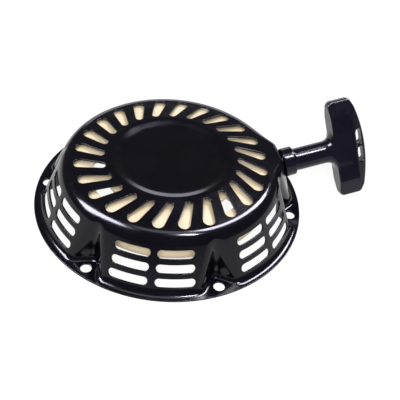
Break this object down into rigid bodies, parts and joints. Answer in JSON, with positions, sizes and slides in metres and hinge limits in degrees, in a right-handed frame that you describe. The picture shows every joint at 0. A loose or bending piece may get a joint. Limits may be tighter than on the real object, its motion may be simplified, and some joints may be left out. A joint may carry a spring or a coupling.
{
  "type": "recoil starter",
  "caption": "Pull-rope recoil starter: louvred black steel case with a rope reel, rewind spring and pawl ratchet inside, and a T grip on the rope.",
  "frame": {"origin": "centre of the bolt circle, on the flange face that bolts to the engine", "axes": "+Z along the crankshaft and reel axis, away from the engine; +X near one bolt hole, with the rope outlet 20 degrees round from it"},
  "size_m": [0.2743, 0.22, 0.0797],
  "materials": {
    "case_paint": "glossy black paint over pressed steel, soft lavender highlights",
    "grip_plastic": "black moulded plastic with a slight blue-violet cast",
    "reel_nylon": "natural cream nylon",
    "guide_nylon": "natural nylon, slightly paler",
    "zinc_steel": "zinc-plated steel",
    "spring_steel": "blued spring steel",
    "bronze": "sintered bronze",
    "rope": "white braided polyester rope with fine dark flecks"
  },
  "bodies": {
    "case": {"case": "case_paint", "centre_post": "zinc_steel", "rope_eyelet": "zinc_steel", "rope_lead": "rope", "thrust_washer": "zinc_steel", "centre_screw": "zinc_steel"},
    "reel": {"reel": "reel_nylon", "reel_bush": "bronze", "spiral_spring": "spring_steel", "rope_coil": "rope", "reel_knot": "rope", "pawl_spring_a": "spring_steel", "pawl_spring_b": "spring_steel"},
    "guide": {"ratchet_guide": "guide_nylon", "friction_spring": "spring_steel"},
    "pawl_a": {"pawl_a": "zinc_steel"},
    "pawl_b": {"pawl_b": "zinc_steel"},
    "handle": {"handle_grip": "grip_plastic", "handle_rope": "rope", "handle_knot": "rope", "knot_washer": "zinc_steel"}
  },
  "joints": [
    {"name": "reel_spin", "type": "hinge", "parent": "case", "child": "reel", "pos_m": [0, 0, 0.025], "axis": [0, 0, -1], "range_deg": [0, 921], "stiffness_Nm_per_rad": 0.03, "springref_deg": -721.93, "deforming": ["spiral_spring"]},
    {"name": "handle_pull", "type": "slide", "parent": "case", "child": "handle", "axis": [0.9254, 0.3368, 0.1736], "range_m": [0, 1.201]},
    {"name": "guide_turn", "type": "hinge", "parent": "reel", "child": "guide", "pos_m": [0, 0, 0.0065], "axis": [0, 0, 1], "range_deg": [0, 28], "stiffness_Nm_per_rad": 0.002, "springref_deg": -5.73, "deforming": ["friction_spring"]},
    {"name": "pawl_a_swing", "type": "hinge", "parent": "reel", "child": "pawl_a", "pos_m": [0.025, 0, 0.0107], "axis": [0, 0, 1], "range_deg": [0, 28], "deforming": ["pawl_spring_a"]},
    {"name": "pawl_b_swing", "type": "hinge", "parent": "reel", "child": "pawl_b", "pos_m": [-0.025, 0, 0.0107], "axis": [0, 0, 1], "range_deg": [0, 28], "deforming": ["pawl_spring_b"]}
  ],
  "couplings": [
    {"joint": "handle_pull", "follows": "reel_spin", "m_per_rad": 0.0747},
    {"joint": "pawl_a_swing", "follows": "guide_turn", "ratio": 1},
    {"joint": "pawl_b_swing", "follows": "guide_turn", "ratio": 1}
  ]
}
